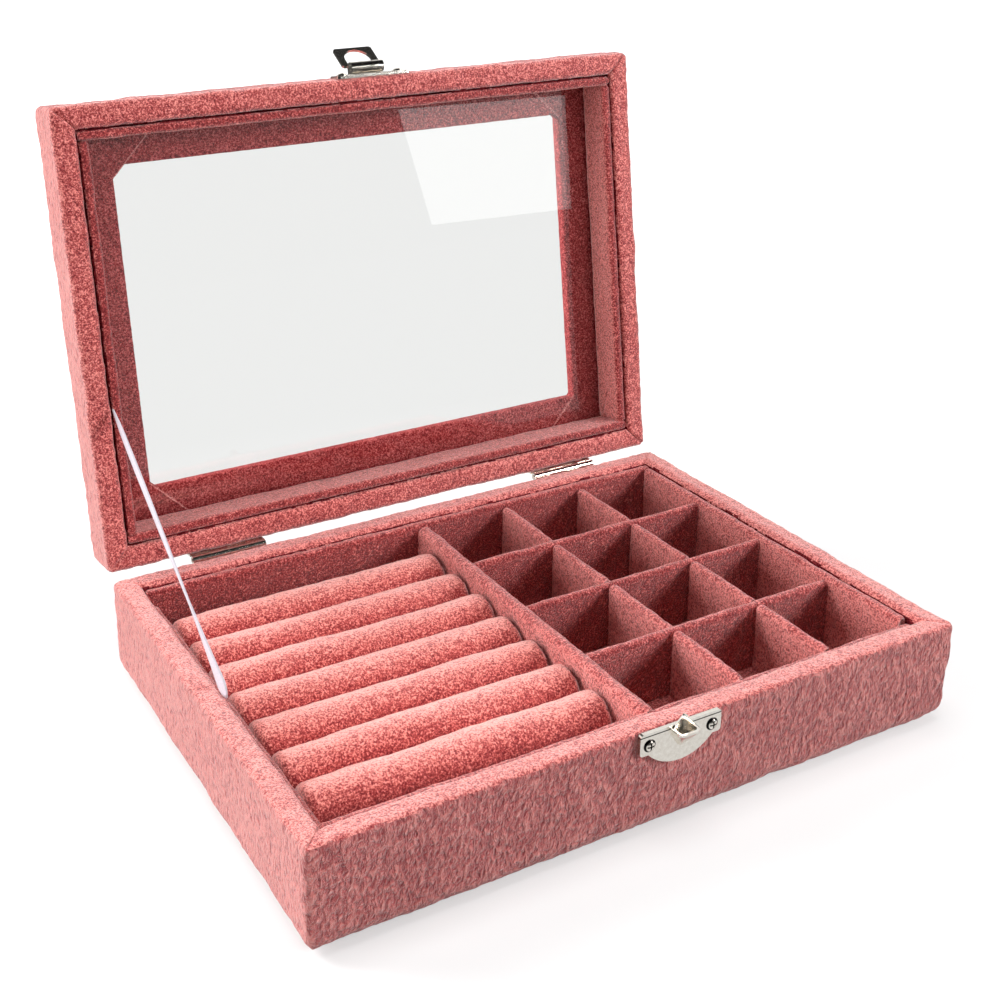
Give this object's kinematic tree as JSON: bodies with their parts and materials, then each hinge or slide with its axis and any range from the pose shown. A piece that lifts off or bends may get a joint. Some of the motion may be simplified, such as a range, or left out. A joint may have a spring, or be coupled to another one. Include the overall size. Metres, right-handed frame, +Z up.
{
  "type": "ring display box",
  "caption": "Velvet-covered ring box with a hinged glass lid, padded ring rolls, small square compartments, a ribbon stay and a hook-over clasp.",
  "frame": {"origin": "middle of the underside of the base, on the table", "axes": "+X to the right as seen from the clasp side, +Y to the hinge side, +Z up"},
  "size_m": [0.2, 0.1858, 0.1771],
  "materials": {
    "board": "plain fibreboard, hidden under the velvet",
    "velvet": "short-pile velvet in dusty rose",
    "velvet_lining": "short-pile velvet on card strips",
    "velvet_roll": "short-pile velvet over foam",
    "velvet_deep": "short-pile velvet, shaded",
    "sheet": "thin flocked sheet glued under the base",
    "glass": "clear float glass",
    "ribbon": "narrow satin ribbon",
    "nickel": "bright nickel plate on pressed steel"
  },
  "bodies": {
    "base": {"base_front_board": "board", "base_back_board": "board", "base_left_board": "board", "base_right_board": "board", "floor_board": "board", "base_velvet": "velvet", "underside_sheet": "sheet", "base_front_lining": "velvet_lining", "base_back_lining": "velvet_lining", "base_left_lining": "velvet_lining", "base_right_lining": "velvet_lining", "ring_bed": "velvet_deep", "ring_roll_1": "velvet_roll", "ring_roll_2": "velvet_roll", "ring_roll_3": "velvet_roll", "ring_roll_4": "velvet_roll", "ring_roll_5": "velvet_roll", "ring_roll_6": "velvet_roll", "ring_roll_7": "velvet_roll", "centre_divider": "velvet_lining", "long_divider_1": "velvet_lining", "long_divider_2": "velvet_lining", "cross_divider_1": "velvet_lining", "cross_divider_2": "velvet_lining", "cross_divider_3": "velvet_lining", "tray_floor": "velvet_deep", "catch_plate": "nickel", "catch_screws": "nickel", "hinge_base_leaf_left": "nickel", "hinge_base_leaf_right": "nickel", "hinge_base_screws": "nickel", "hinge_pins": "nickel", "ribbon_stay": "ribbon"},
    "lid": {"lid_front_board": "board", "lid_back_board": "board", "lid_left_board": "board", "lid_right_board": "board", "lid_panel": "board", "lid_velvet": "velvet", "window_trim": "velvet_deep", "window_glass": "glass", "lid_front_lining": "velvet_lining", "lid_back_lining": "velvet_lining", "lid_left_lining": "velvet_lining", "lid_right_lining": "velvet_lining", "hinge_lid_leaf_left": "nickel", "hinge_lid_leaf_right": "nickel", "hinge_lid_screws": "nickel", "hasp_plate": "nickel", "hasp_pin": "nickel", "hasp_screws": "nickel"},
    "hasp": {"hasp_loop": "nickel"}
  },
  "joints": [
    {"name": "lid_hinge", "type": "hinge", "parent": "base", "child": "lid", "pos_m": [0, 0.07135, 0.03065], "axis": [1, 0, 0], "range_deg": [0, 98.3], "deforming": ["ribbon_stay"]},
    {"name": "hasp_hinge", "type": "hinge", "parent": "lid", "child": "hasp", "pos_m": [0.0032, 0.09894, 0.17235], "axis": [1, 0, 0], "range_deg": [-35, 141]}
  ]
}
